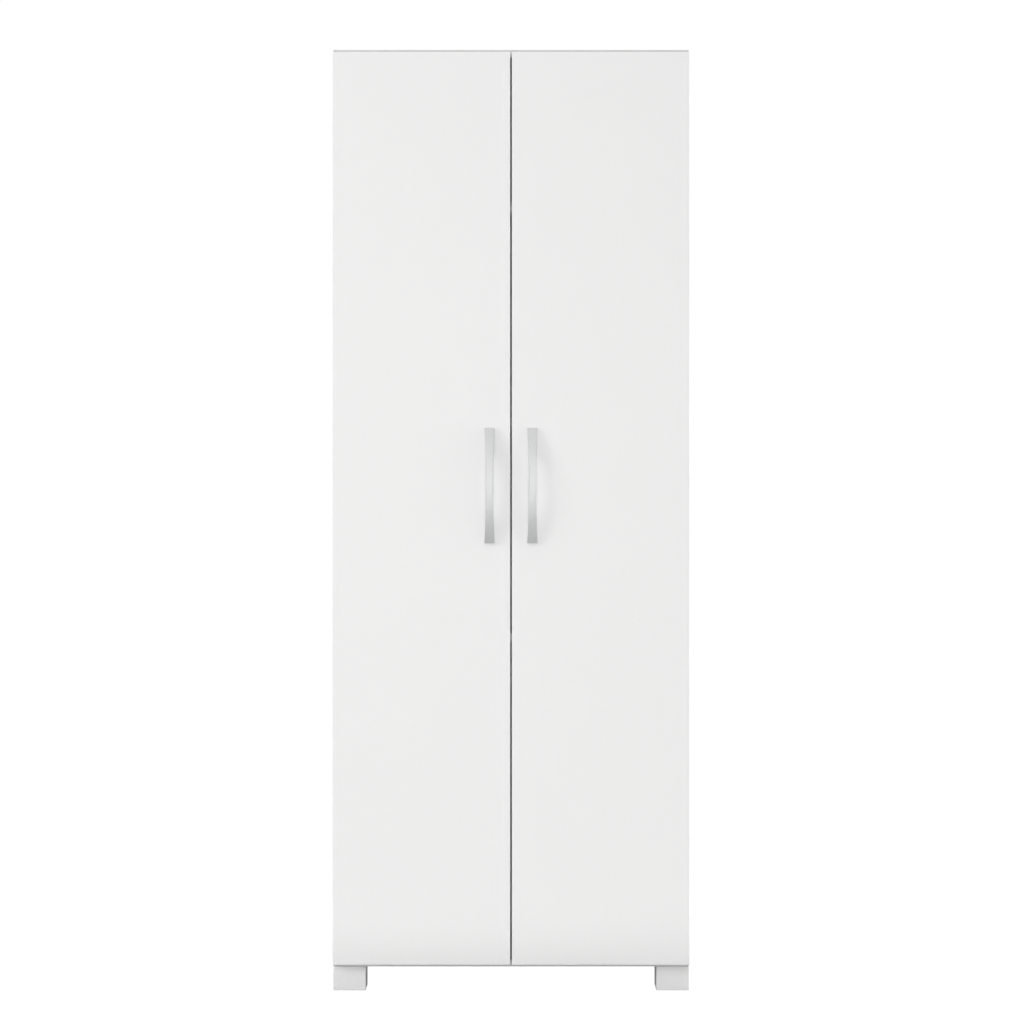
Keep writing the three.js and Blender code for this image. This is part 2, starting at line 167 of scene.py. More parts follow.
# Screws: the radius and height of each kind of head, and its details as shares of these
SCREW_HEAD_SIZES = {
    "handle_screw": (4 * MM, 2.3 * MM),
    "cup_screw": (3.6 * MM, 1.1 * MM),
    "plate_screw": (3.6 * MM, 1.6 * MM),
    "arm_screw": (2.9 * MM, 0.9 * MM),
}
HEAD_ROUNDING = 0.55
CROSS_REACH = 0.58
CROSS_HALF_WIDTH = 0.13
CROSS_FLOOR = 0.35
SHANK_RADIUS = 1.9 * MM
SHANK_EDGE = 0.5 * MM
SHANK_IN_HEAD = 0.2 * MM

# Hinges, in a frame of their own: the door's swing axis is at the middle, the cupboard's
# right side is towards +X, and the inside of the cupboard towards +Y
HINGE_LEVELS = ("lowest", "lower", "upper", "highest")
DOOR_BACK = 9 * MM

# The hinge's cup in the door, with its flange and ears
CUP_CENTRE = -16.7 * MM
CUP_RADIUS = 17.3 * MM
CUP_WELL_RADIUS = 16.5 * MM
CUP_BOTTOM = DOOR_BACK - 11.8 * MM
CUP_WALL = 0.6 * MM
CUP_CORNER = 1.6 * MM
CUP_RIM = 0.3 * MM
FLANGE_RADIUS = 18.4 * MM
FLANGE_LOW = DOOR_BACK + 0.2 * MM
FLANGE_HIGH = DOOR_BACK + 0.8 * MM
FLANGE_EDGE = 0.25 * MM
EAR_PLACE = CUP_CENTRE - 9.5 * MM
EAR_WIDTH = 13 * MM
EAR_SPAN = 56 * MM
EAR_CORNER = 5 * MM
EAR_EDGE = 0.2 * MM
EAR_LIFT = 0.05 * MM
EAR_SCREW_REACH = 22.5 * MM

# The hinge's link, from the arm's pin to the axle in the cup
ARM_PIN = Vector((-21, 1, 0)) * MM
ARM_PIN_RADIUS = 1.2 * MM
ARM_PIN_INSET = 0.1 * MM
LINK_END = Vector((-4.2, 3.8, 0)) * MM
LINK_THICKNESS = 1.8 * MM
LINK_HEIGHT = 8 * MM
LINK_BOW = 2 * MM
LINK_EYE_RADIUS = 2.4 * MM
LINK_BORE = 1.45 * MM
LINK_AXLE_RADIUS = 1.2 * MM
LINK_AXLE_LENGTH = 12.5 * MM
LINK_STEPS = 16

# The hinge's arm, with a recess round one screw and a bore round the other
ARM_TOP = -24.6 * MM
ARM_BOTTOM = -13.6 * MM
ARM_WIDTH = 16 * MM
ARM_NOSE = 2.7 * MM
ARM_NOSE_STEPS = 12
ARM_NECK_END = 7 * MM
ARM_BODY_START = 12 * MM
ARM_TAIL = 66 * MM
ARM_SHOULDER = 5 * MM
ARM_EDGE = 0.7 * MM
ARM_SLOT = 8.8 * MM
ARM_SLOT_GAP = 0.4 * MM
RECESS_FLOOR = ARM_TOP + 1 * MM
RECESS_AHEAD = 7.5 * MM
RECESS_BEHIND = 5 * MM
RECESS_HALF = 3.6 * MM
RECESS_CORNER = 3.2 * MM
SETTING_SCREW_PLACE = 30 * MM
SETTING_BORE_RADIUS = 3.3 * MM

# The hinge's mounting plate on the side board, with a rib under the arm
PLATE_MIDDLE = 48 * MM
PLATE_LOW = -11.2 * MM
PLATE_HIGH = -9.4 * MM
PLATE_SPAN = 52 * MM
PLATE_WIDTH = 20 * MM
PLATE_CORNER = 4 * MM
PLATE_EDGE = 0.4 * MM
PLATE_SCREW_REACH = 18 * MM
RIB_LENGTH = 34 * MM
RIB_WIDTH = 13 * MM
RIB_EDGE = 0.5 * MM
RIB_UNDER_ARM = 0.2 * MM

# Shelf pins
PIN_RADIUS = 2.4 * MM
PIN_REACH = 8.8 * MM
PIN_GAP = 0.2 * MM
PIN_HEAD = 8 * MM
PIN_HEAD_HEIGHT = 6 * MM
PIN_EDGE = 0.6 * MM

# Covers over the fittings, with a notch in the rim
COVER_RADIUS = 8.5 * MM
COVER_HEIGHT = 0.7 * MM
COVER_ROUNDING = 0.6 * COVER_HEIGHT
COVER_INSET = 34 * MM
COVER_FROM_EDGE = 60 * MM
NOTCH_HALF_WIDTH = 0.35 * COVER_RADIUS
NOTCH_OUTER = 1.2 * COVER_RADIUS
NOTCH_INNER = 0.8 * COVER_RADIUS
NOTCH_FLOOR = 0.4 * COVER_HEIGHT

# Nails in the back sheets
NAIL_RADIUS = 2.1 * MM
NAIL_HEIGHT = 0.45 * MM
NAIL_ROUNDING = 0.5 * NAIL_HEIGHT
NAIL_PITCH = 150 * MM
NAIL_INSET = 5.5 * MM
NAIL_CORNER_GAP = 68 * MM

# Buffers on the doors
BUFFER_RADIUS = 3.4 * MM
BUFFER_HEIGHT = 1.6 * MM
BUFFER_ROUNDING = 0.8 * BUFFER_HEIGHT
BUFFER_FROM_MIDDLE = 24 * MM
BUFFER_FROM_END = 1.3 * BUFFER_RADIUS


def in_order(*values):
    """Socket values by number, for nodes whose sockets share a name."""
    return dict(enumerate(values))


class Nodes:
    """A node tree, which is filled by one method that adds a node."""

    def __init__(self, tree):
        self.tree = tree
        tree.nodes.clear()

    def add(self, kind, settings=None, sockets=None):
        """Adds a node, with its settings first and then the values or links of its sockets."""
        node = self.tree.nodes.new("ShaderNode" + kind)
        for name, value in (settings or {}).items():
            setattr(node, name, value)
        for name, value in (sockets or {}).items():
            self.feed(node.inputs[name], value)
        return node

    def node(self, kind, settings=None, sockets=None, output=0):
        """Adds a node and returns one of its outputs."""
        return Channel(self, self.add(kind, settings, sockets).outputs[output])

    def feed(self, socket, value):
        """Links a channel to a socket, or sets the socket to a plain value."""
        if isinstance(value, Channel):
            self.tree.links.new(value.socket, socket)
        else:
            socket.default_value = value

    def axes(self, vector):
        """The three parts of a vector."""
        split = self.add("SeparateXYZ", {}, {"Vector": vector})
        return [Channel(self, output) for output in split.outputs]

    def blend(self, share, first, second):
        """A colour between two others."""
        sockets = {MIX_SHARE: share, MIX_FIRST: first, MIX_SECOND: second}
        return self.node("Mix", {"data_type": "RGBA"}, sockets, MIX_RESULT)


class Channel:
    """An output socket that takes part in sums as a number does."""

    def __init__(self, nodes, socket):
        self.nodes = nodes
        self.socket = socket

    def maths(self, operation, *values):
        """A Math node on these values."""
        return self.nodes.node("Math", {"operation": operation}, in_order(*values))

    def __add__(self, other):
        return self.maths("ADD", self, other)

    def __sub__(self, other):
        return self.maths("SUBTRACT", self, other)

    def __rsub__(self, other):
        return self.maths("SUBTRACT", other, self)

    def __mul__(self, other):
        return self.maths("MULTIPLY", self, other)

    __radd__ = __add__
    __rmul__ = __mul__

    def sine(self):
        return self.maths("SINE", self)

    def step(self, start, end):
        """0 before start, 1 after end, and smooth between."""
        settings = {"interpolation_type": "SMOOTHSTEP"}
        sockets = {"Value": self, "From Min": start, "From Max": end}
        return self.nodes.node("MapRange", settings, sockets)


class Finish(Nodes):
    """A material: one Principled shader and the nodes that vary it over the surface."""

    def __init__(self, name, constants):
        self.material = bpy.data.materials.new(name)
        self.material.use_nodes = True
        super().__init__(self.material.node_tree)
        self.shader = self.add("BsdfPrincipled", {}, constants)
        self.add("OutputMaterial", {}, {"Surface": Channel(self, self.shader.outputs["BSDF"])})
        self.place = self.node("TexCoord", output="Object")

    def noise(self, size, detail=2, scale=(1, 1, 1)):
        """Soft blobs of about this size, drawn out along an axis where its scale is small."""
        place = self.node("Mapping", {}, {"Vector": self.place, "Scale": scale})
        return self.node("TexNoise", {}, {"Vector": place, "Scale": 1 / size, "Detail": detail})

    def cells(self, size, output):
        """Crystal-like cells of about this size."""
        return self.node("TexVoronoi", {}, {"Vector": self.place, "Scale": 1 / size}, output)

    def done(self, colour, roughness, height, depth):
        """Feeds what varies to the shader, with a relief of this height and depth."""
        relief = self.node("Bump", {}, {"Height": height, "Distance": depth})
        self.feed(self.shader.inputs["Base Color"], colour)
        self.feed(self.shader.inputs["Roughness"], roughness)
        self.feed(self.shader.inputs["Normal"], relief)
        return self.material


def grey(tone, warmth=0.0):
    """A grey, a little warmer where warmth is above zero."""
    return (tone * (1 + warmth), tone, tone * (1 - warmth), 1)


def foil_finish(name, tone, grain, roughness):
    """White melamine foil: nearly plain, with faint clouding, paper mottle and a pearl grain."""
    foil = Finish(name, {"Specular IOR Level": 0.45})
    clouding = foil.noise(140 * MM, 3)
    mottle = foil.noise(3 * MM, 3)
    pearl = foil.noise(grain)
    scuffs = foil.noise(5 * MM, 4, (1, 1, 0.12)).step(0.66, 0.74)
    shade = clouding * 0.5 + mottle * 0.35 + pearl * 0.15
    dark = grey(tone - 0.012, 0.002)
    pale = grey(tone + 0.012, 0.003)
    sheen = roughness - 0.05 + pearl * 0.1 + scuffs * 0.05
    return foil.done(foil.blend(shade, dark, pale), sheen, pearl + mottle * 0.5, 0.03 * MM)


def door_foil():
    """The fronts of the doors."""
    return foil_finish("door_foil", 0.865, 0.8 * MM, 0.4)


def board_foil():
    """The carcass boards, the shelves and the backs of the doors."""
    return foil_finish("board_foil", 0.855, 0.6 * MM, 0.46)


def foot_foil_with_painted_light():
    """The feet: the white foil made lighter than the boards', as painted light that makes up for the light the
    feet lack.
    """
    # Tone raised above the board foil's: painted light for the feet, which get less light than the doors.
    return foil_finish("foot_foil_with_painted_light", 0.905, 0.7 * MM, 0.44)


def banding(name, tone):
    """The glued band on board edges: a touch glossier, with fine lines from the trimming knife."""
    band = Finish(name, {"Specular IOR Level": 0.45})
    lines = band.noise(0.5 * MM, 2, (1, 1, 0.03))
    clouding = band.noise(60 * MM)
    shade = clouding * 0.6 + lines * 0.4
    dark = grey(tone - 0.02, 0.003)
    pale = grey(tone + 0.02, 0.004)
    return band.done(band.blend(shade, dark, pale), 0.33 + lines * 0.1, lines, 0.02 * MM)


def board_band_grey_and_painted_shade():
    """The edges of the carcass boards and the shelves: partly the band's own grey and partly painted shade,
    darkened so the strips above and below the doors look shaded.
    """
    # Tone darkened below the band's own grey: painted shade for the strips above and below the doors.
    return banding("board_band_grey_and_painted_shade", 0.61)


def door_band():
    """The edges of the doors."""
    return banding("door_band", 0.77)


def chipboard_core():
    """Bare chipboard in the bores and on the hidden edges: pressed chips of several browns."""
    core = Finish("chipboard_core", {"Specular IOR Level": 0.2})
    chip_size = 2.2 * MM
    chips = core.cells(chip_size, "Color")
    tone = core.node("SeparateColor", {}, {"Color": chips}, "Red")
    fibres = core.noise(0.6 * MM, 4, (1, 1, 0.3))
    dark_chip = (0.3, 0.19, 0.1, 1)
    pale_chip = (0.66, 0.5, 0.33, 1)
    colour = core.blend(tone * 0.7 + fibres * 0.3, dark_chip, pale_chip)
    height = core.cells(chip_size, "Distance") + fibres
    return core.done(colour, 0.82 + fibres * 0.1, height, 0.3 * MM)


def hardboard_face():
    """The painted inside of the back sheets: matt white with an orange-peel skin."""
    sheet = Finish("hardboard_face", {"Specular IOR Level": 0.35})
    peel = sheet.noise(1.6 * MM, 3)
    clouding = sheet.noise(90 * MM, 3)
    colour = sheet.blend(clouding * 0.7 + peel * 0.3, grey(0.8, 0.006), grey(0.84, 0.008))
    return sheet.done(colour, 0.5 + peel * 0.12, peel, 0.06 * MM)


def hardboard_back():
    """The bare outside of the back sheets: brown pressed fibre with the print of the screen."""
    sheet = Finish("hardboard_back", {"Specular IOR Level": 0.25})
    fibres = sheet.noise(1.1 * MM, 5, (1, 1, 0.25))
    crossing = sheet.noise(1.3 * MM, 5, (0.25, 1, 1))
    clouding = sheet.noise(45 * MM, 4)
    flecks = sheet.noise(2.6 * MM, 3, (1, 1, 0.4)).step(0.62, 0.76)
    screen_pitch = 1.8 * MM
    turns = 2 * pi / screen_pitch
    x, _, z = sheet.axes(sheet.place)
    screen = (x * turns).sine() * (z * turns).sine()
    shade = fibres * 0.35 + crossing * 0.25 + clouding * 0.4
    dark_fibre = (0.19, 0.105, 0.05, 1)
    pale_fibre = (0.42, 0.265, 0.145, 1)
    fleck = (0.16, 0.09, 0.048, 1)
    colour = sheet.blend(flecks * 0.4, sheet.blend(shade, dark_fibre, pale_fibre), fleck)
    return sheet.done(colour, 0.66 + fibres * 0.2, fibres + screen * 0.3, 0.12 * MM)


def strip_plastic():
    """White extruded plastic of the joining strip, with faint lines along its length."""
    strip = Finish("strip_plastic", {"Specular IOR Level": 0.5})
    lines = strip.noise(0.6 * MM, 2, (1, 1, 0.02))
    clouding = strip.noise(50 * MM)
    colour = strip.blend(clouding * 0.5 + lines * 0.5, grey(0.8, 0.01), grey(0.85, 0.012))
    return strip.done(colour, 0.38 + lines * 0.12, lines, 0.04 * MM)


def cover_plastic():
    """White moulded plastic of the fitting covers."""
    cover = Finish("cover_plastic", {"Specular IOR Level": 0.5})
    grain = cover.noise(0.5 * MM, 3)
    colour = cover.blend(grain, grey(0.8, 0.004), grey(0.84, 0.006))
    return cover.done(colour, 0.4 + grain * 0.14, grain, 0.03 * MM)


def buffer_rubber():
    """Milky soft plastic of the door buffers."""
    rubber = Finish("buffer_rubber", {"Transmission Weight": 0.35, "IOR": 1.46})
    haze = rubber.noise(1.2 * MM, 3)
    colour = rubber.blend(haze, grey(0.74, 0.01), grey(0.84, 0.01))
    return rubber.done(colour, 0.24 + haze * 0.14, haze, 0.03 * MM)


def handle_satin():
    """Satin silver of the handles, brushed along their length."""
    satin = Finish("handle_satin", {"Metallic": 1.0})
    brushing = satin.noise(0.28 * MM, 3, (1, 1, 0.012))
    streaks = satin.noise(1.6 * MM, 2, (1, 1, 0.02))
    clouding = satin.noise(24 * MM)
    shade = brushing * 0.35 + streaks * 0.5 + clouding * 0.15
    dark_silver = (0.61, 0.614, 0.62, 1)
    pale_silver = (0.83, 0.833, 0.837, 1)
    colour = satin.blend(shade, dark_silver, pale_silver)
    sheen = 0.52 + brushing * 0.12 + clouding * 0.05
    return satin.done(colour, sheen, brushing + streaks * 0.6, 0.012 * MM)


def hinge_nickel():
    """Nickel-plated pressed steel, slightly warm, with the fine waviness of pressing."""
    nickel = Finish("hinge_nickel", {"Metallic": 1.0})
    pressing = nickel.noise(4 * MM, 3)
    scratches = nickel.noise(0.3 * MM, 3, (1, 0.05, 1))
    dark_nickel = (0.6, 0.575, 0.53, 1)
    pale_nickel = (0.74, 0.72, 0.68, 1)
    colour = nickel.blend(pressing * 0.6 + scratches * 0.4, dark_nickel, pale_nickel)
    return nickel.done(colour, 0.2 + scratches * 0.14, pressing + scratches * 0.3, 0.03 * MM)


def screw_steel():
    """Zinc-plated screws: cooler and duller than the hinges, with a mottled plating."""
    steel = Finish("screw_steel", {"Metallic": 1.0})
    mottle = steel.noise(0.9 * MM, 4)
    turning = steel.noise(0.2 * MM)
    dark_zinc = (0.5, 0.51, 0.53, 1)
    pale_zinc = (0.68, 0.69, 0.71, 1)
    colour = steel.blend(mottle, dark_zinc, pale_zinc)
    return steel.done(colour, 0.3 + turning * 0.16, mottle + turning * 0.5, 0.02 * MM)


def nail_steel():
    """Bright nails that have dulled a little."""
    steel = Finish("nail_steel", {"Metallic": 1.0})
    mottle = steel.noise(0.7 * MM, 4)
    dark_steel = (0.36, 0.35, 0.34, 1)
    pale_steel = (0.58, 0.57, 0.56, 1)
    colour = steel.blend(mottle, dark_steel, pale_steel)
    return steel.done(colour, 0.36 + mottle * 0.2, mottle, 0.03 * MM)


def focus(piece):
    """Selects one piece and nothing else."""
    bpy.ops.object.select_all(action="DESELECT")
    piece.select_set(True)
    bpy.context.view_layer.objects.active = piece


def settled(name):
    """Names the piece just added, and puts its place into its mesh."""
    piece = bpy.context.active_object
    piece.name = name
    piece.data.name = name
    bpy.ops.object.transform_apply(location=True, rotation=True, scale=True)
    return piece


@contextmanager
def edited(piece):
    """Edit mode, with the whole mesh selected at first."""
    focus(piece)
    bpy.ops.object.mode_set(mode="EDIT")
    bpy.ops.mesh.select_all(action="SELECT")
    yield
    bpy.ops.object.mode_set(mode="OBJECT")


def pick_edges(piece, test):
    """In edit mode, selects the edges that pass a test, and nothing else."""
    bpy.ops.mesh.select_mode(type="EDGE")
    bpy.ops.mesh.select_all(action="DESELECT")
    mesh = bmesh.from_edit_mesh(piece.data)
    for edge in mesh.edges:
        if test(edge):
            edge.select_set(True)
    bmesh.update_edit_mesh(piece.data)


def modify(piece, kind, **settings):
    """Adds a modifier, sets it and applies it."""
    focus(piece)
    modifier = piece.modifiers.new(kind, kind)
    for name, value in settings.items():
        setattr(modifier, name, value)
    bpy.ops.object.modifier_apply(modifier=modifier.name)


def joined(name, parts):
    """Several pieces made one object."""
    focus(parts[0])
    for part in parts:
        part.select_set(True)
    if len(parts) > 1:
        bpy.ops.object.join()
    parts[0].name = name
    parts[0].data.name = name
    return parts[0]


def cut_with(piece, tools, operation="DIFFERENCE"):
    """Cuts the tools out of a piece, or fuses them with it, and clears them away."""
    tool = joined("tool", tools)
    modify(piece, "BOOLEAN", object=tool, operation=operation, solver="EXACT")
    bpy.data.objects.remove(tool)


def new_block(name, low, high):
    """A block between two corners."""
    bpy.ops.object.select_all(action="DESELECT")
    low, high = Vector(low), Vector(high)
    bpy.ops.mesh.primitive_cube_add(size=1, location=(low + high) / 2, scale=high - low)
    return settled(name)


def new_rod(name, start, end, radius, sides):
    """A round bar between two points."""
    bpy.ops.object.select_all(action="DESELECT")
    start, end = Vector(start), Vector(end)
    turn = (end - start).to_track_quat("Z", "Y").to_euler()
    bpy.ops.mesh.primitive_cylinder_add(
        vertices=sides,
        radius=radius,
        depth=(end - start).length,
        location=(start + end) / 2,
        rotation=turn,
    )
    return settled(name)


def upright_rod(middle, length, radius, sides):
    """A round bar along Z, round its middle."""
    reach = Vector((0, 0, length / 2))
    return new_rod("rod", middle - reach, middle + reach, radius, sides)


def drawn_line(name, points):
    """A line from point to point: one vertex, extruded along the way."""
    bpy.ops.object.select_all(action="DESELECT")
    bpy.ops.mesh.primitive_plane_add(size=1, location=points[0])
    line = settled(name)
    with edited(line):
        bpy.ops.mesh.select_mode(type="VERT")
        bpy.ops.mesh.merge(type="CENTER")
        for here, there in zip(points, points[1:]):
            move = {"value": Vector(there) - Vector(here)}
            bpy.ops.mesh.extrude_region_move(TRANSFORM_OT_translate=move)
    return line


def raised(name, points, rise):
    """A flat outline, filled and extruded evenly to both sides along Z."""
    low = [Vector((x, y, -rise / 2)) for x, y in points]
    prism = drawn_line(name, low)
    with edited(prism):
        bpy.ops.mesh.edge_face_add()
        bpy.ops.mesh.extrude_region_move(TRANSFORM_OT_translate={"value": (0, 0, rise)})
        bpy.ops.mesh.select_all(action="SELECT")
        bpy.ops.mesh.normals_make_consistent(inside=False)
    return prism


def turned(name, profile, centre_x, steps):
    """A profile of radius and depth, spun about the line through centre_x that runs along Y."""
    line = drawn_line(name, [Vector((centre_x + radius, depth, 0)) for radius, depth in profile])
    with edited(line):
        centre = (centre_x, 0, 0)
        bpy.ops.mesh.spin(steps=steps, angle=2 * pi, center=centre, axis=(0, 1, 0))
        bpy.ops.mesh.select_all(action="SELECT")
        bpy.ops.mesh.remove_doubles(threshold=SAME_PLACE)
        bpy.ops.mesh.normals_make_consistent(inside=False)
    return line


def swept_bar(name, sections):
    """A rectangular bar, extruded upwards from section to section and resized on the way."""
    bpy.ops.object.select_all(action="DESELECT")
    centre, width, depth = sections[0]
    bpy.ops.mesh.primitive_plane_add(size=1, location=centre)
    bar = settled(name)
    with edited(bar):
        bpy.ops.transform.resize(value=(width, depth, 1), center_override=centre)
        for there, next_width, next_depth in sections[1:]:
            bpy.ops.mesh.extrude_region_move(TRANSFORM_OT_translate={"value": there - centre})
            growth = (next_width / width, next_depth / depth, 1)
            bpy.ops.transform.resize(value=growth, center_override=there)
            centre, width, depth = there, next_width, next_depth
        bpy.ops.mesh.select_all(action="SELECT")
        bpy.ops.mesh.normals_make_consistent(inside=False)
    return bar


def soften(piece, radius, segments=2, test=None):
    """Rounds the sharp edges, or those of them that pass a test."""
    def chosen(edge):
        sharp = edge.is_manifold and edge.calc_face_angle() > SHARP_ANGLE
        return sharp and (test is None or test(edge))

    with edited(piece):
        pick_edges(piece, chosen)
        bpy.ops.mesh.bevel(offset=radius, segments=segments, affect="EDGES")


def lies_at(axis, level):
    """A test for edges that lie at one level on an axis."""
    return lambda edge: all(abs(vertex.co[axis] - level) < SAME_PLACE for vertex in edge.verts)


def runs_along(axis):
    """A test for edges that run along an axis."""
    def test(edge):
        span = edge.verts[1].co - edge.verts[0].co
        return abs(span[axis]) > ALONG_SHARE * span.length

    return test


def round_cap(name, radius, height, sides, rounding, segments=3):
    """A low round cap that stands on the origin, with a rounded upper rim."""
    cap = new_rod(name, (0, 0, 0), (0, 0, height), radius, sides)
    soften(cap, rounding, segments, lies_at(Z, height))
    return cap


def paint(piece, finish, test=None):
    """Gives a finish to the faces that pass a test, or to all of them."""
    piece.data.materials.append(finish)
    slot = len(piece.data.materials) - 1
    for face in piece.data.polygons:
        if test is None or test(face):
            face.material_index = slot


def smooth(piece):
    """Shades a piece smooth over its rounded edges and flat on its flat faces."""
    focus(piece)
    bpy.ops.object.shade_smooth_by_angle(angle=SMOOTH_ANGLE)
    modify(piece, "WEIGHTED_NORMAL", keep_sharp=True)


def stand_for(piece, slot, *nodes):
    """Smooths a piece and puts it in the place of CAD nodes."""
    smooth(piece)
    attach(piece, BODY_OF[nodes[0]])
    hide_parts(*nodes)


def add_trim(piece, node):
    """Smooths a piece that stands for no node, and lets it move with one."""
    smooth(piece)
    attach(piece, BODY_OF[node])


def copied(piece, name, matrix):
    """A copy with its own mesh, moved by a matrix."""
    twin = piece.copy()
    twin.data = piece.data.copy()
    twin.name = name
    twin.data.name = name
    twin.data.transform(matrix)
    bpy.context.collection.objects.link(twin)
    return twin


def facing(place, direction):
    """The matrix that takes what stands upright on the origin to a place, facing a direction."""
    turn = Vector(direction).to_track_quat("Z", "Y").to_matrix().to_4x4()
    return Matrix.Translation(place) @ turn


def evenly(first, last, pitch):
    """Places from first to last that are about a pitch apart."""
    gaps = max(1, round(abs(last - first) / pitch))
    return [first + (last - first) * step / gaps for step in range(gaps + 1)]


def thin_axis(low, high):
    """The axis across a board's thickness."""
    size = high - low
    return min((X, Y, Z), key=lambda axis: size[axis])


def paint_board(piece, band, low, high):
    """Foil on the broad sides, band on the edges, bare chipboard inside the holes and behind."""
    thickness = thin_axis(low, high)

    def inside(face):
        depths = [min(face.center[i] - low[i], high[i] - face.center[i]) for i in (X, Y, Z)]
        return min(depths) > SURFACE_DEPTH

    def on_edge(face):
        return abs(face.normal[thickness]) < SQUARE_ON

    def bare(face):
        return inside(face) or (on_edge(face) and face.normal.y > SQUARE_ON)

    paint(piece, finishes["board_foil"])
    paint(piece, band, on_edge)
    paint(piece, finishes["chipboard_core"], bare)


def add_board(node, tools=()):
    """A banded board in the place of a CAD node, with what the tools cut out of it."""
    low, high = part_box(node)
    piece = new_block(node + "_board", low, high)
    soften(piece, BOARD_EDGE)
    if tools:
        cut_with(piece, tools)
    # The carcass edge band's grey is partly painted shade.
    paint_board(piece, finishes["board_band_grey_and_painted_shade"], low, high)
    stand_for(piece, "white_board", node)


def pin_holes(face_x, direction):
    """Rods for the two columns of shelf-pin holes that open on one face."""
    rods = []
    for end in ENDS:
        low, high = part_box(f"right_{end}_shelf_pin")
        middle = (low + high) / 2
        pin_height = high.z - PIN_RADIUS
        for level in range(-SPARE_LEVELS, SPARE_LEVELS + 1):
            z = pin_height + level * PIN_PITCH
            mouth = (face_x - direction * OVERRUN, middle.y, z)
            bottom = (face_x + direction * PIN_HOLE_DEPTH, middle.y, z)
            rods.append(new_rod("tool", mouth, bottom, PIN_HOLE_RADIUS, PIN_SIDES))
    return rods


def add_carcass():
    """The boards and shelves. The right side and the divider have holes for the shelf pins."""
    for node in ("bottom_panel", "top_panel", "left_side"):
        add_board(node)
    add_board("right_side", pin_holes(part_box("right_side")[0].x, 1))
    add_board("divider", pin_holes(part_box("divider")[1].x, -1))
    for node in ("top_shelf", "middle_shelf", "adjustable_shelf"):
        add_board(node)


def add_feet():
    """Four block feet."""
    for end in ENDS:
        for side in SIDES:
            node = f"{end}_{side}_foot"
            foot = new_block(node + "_block", *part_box(node))
            soften(foot, FOOT_EDGE, segments=3)
            # The feet's foil is lighter than the boards': painted light.
            paint(foot, finishes["foot_foil_with_painted_light"])
            stand_for(foot, "white_board", node)


def add_back():
    """The two back sheets, painted inside and bare outside, and the strip that joins them."""
    for side in SIDES:
        node = "back_panel_" + side
        sheet = new_block(node + "_sheet", *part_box(node))
        soften(sheet, SHEET_EDGE)
        paint(sheet, finishes["hardboard_back"])
        paint(sheet, finishes["hardboard_face"], lambda face: face.normal.y < -SQUARE_ON)
        stand_for(sheet, "white_hardboard", node)
    strip = frame["nodes"]["back_joint_strip"]
    strip.material_slots[0].material = finishes["strip_plastic"]


def add_nails():
    """Nails round the back sheets, driven into the rear edges of the carcass."""
    nail = round_cap("nail", NAIL_RADIUS, NAIL_HEIGHT, NAIL_SIDES, NAIL_ROUNDING, segments=2)
    paint(nail, finishes["nail_steel"])
    low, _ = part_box("back_panel_left")
    _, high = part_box("back_panel_right")
    heights = evenly(low.z + NAIL_INSET, high.z - NAIL_INSET, NAIL_PITCH)
    places = [(x, z) for x in (low.x + NAIL_INSET, high.x - NAIL_INSET) for z in heights]
    for start, end in ((low.x, 0), (0, high.x)):
        across = evenly(start + NAIL_CORNER_GAP, end - NAIL_CORNER_GAP, NAIL_PITCH)
        places += [(x, z) for x in across for z in (heights[0], heights[-1])]
    nails = [copied(nail, "nail", facing((x, high.y, z), (0, 1, 0))) for x, z in places]
    bpy.data.objects.remove(nail)
    add_trim(joined("back_nails", nails), "top_panel")


def fitting_cover():
    """A white cover that stands on the origin, with a notch in its rim to lift it by."""
    cover = round_cap("cover", COVER_RADIUS, COVER_HEIGHT, COVER_SIDES, COVER_ROUNDING)
    notch = new_block(
        "tool",
        (-NOTCH_HALF_WIDTH, -NOTCH_OUTER, NOTCH_FLOOR),
        (NOTCH_HALF_WIDTH, -NOTCH_INNER, COVER_HEIGHT + OVERRUN),
    )
    cut_with(cover, [notch])
    paint(cover, finishes["cover_plastic"])
    return cover


def add_fitting_covers():
    """Covers over the fittings that draw the boards together, on the sides and under shelves."""
    cover = fitting_cover()
    low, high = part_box("left_side")
    rows = (low.y + COVER_FROM_EDGE, high.y - COVER_FROM_EDGE)
    places = []
    for side, sign in SIDES.items():
        low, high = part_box(side + "_side")
        face = high.x if sign < 0 else low.x
        for z in (low.z + COVER_INSET, high.z - COVER_INSET):
            places += [((face, y, z), (-sign, 0, 0)) for y in rows]
    for node in ("top_shelf", "middle_shelf"):
        low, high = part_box(node)
        for x in (low.x + COVER_INSET, high.x - COVER_INSET):
            places += [((x, y, low.z), (0, 0, -1)) for y in rows]
    covers = [copied(cover, "cover", facing(place, way)) for place, way in places]
    bpy.data.objects.remove(cover)
    add_trim(joined("fitting_covers", covers), "top_panel")


def screw_head(radius, height):
    """A pan head that stands on the origin, with a cross recess."""
    head = round_cap("head", radius, height, SCREW_SIDES, height * HEAD_ROUNDING)
    reach = radius * CROSS_REACH
    width = radius * CROSS_HALF_WIDTH
    floor = height * CROSS_FLOOR
    for x, y in ((reach, width), (width, reach)):
        groove = new_block("tool", (-x, -y, floor), (x, y, height + OVERRUN))
        cut_with(head, [groove])
    paint(head, finishes["screw_steel"])
    return head


def with_screws(piece, kind, places, way):
    """Joins screw heads of a kind to a piece, all facing one way."""
    screws = [copied(screw_heads[kind], "screw", facing(place, way)) for place in places]
    return joined(piece.name, [piece] + screws)


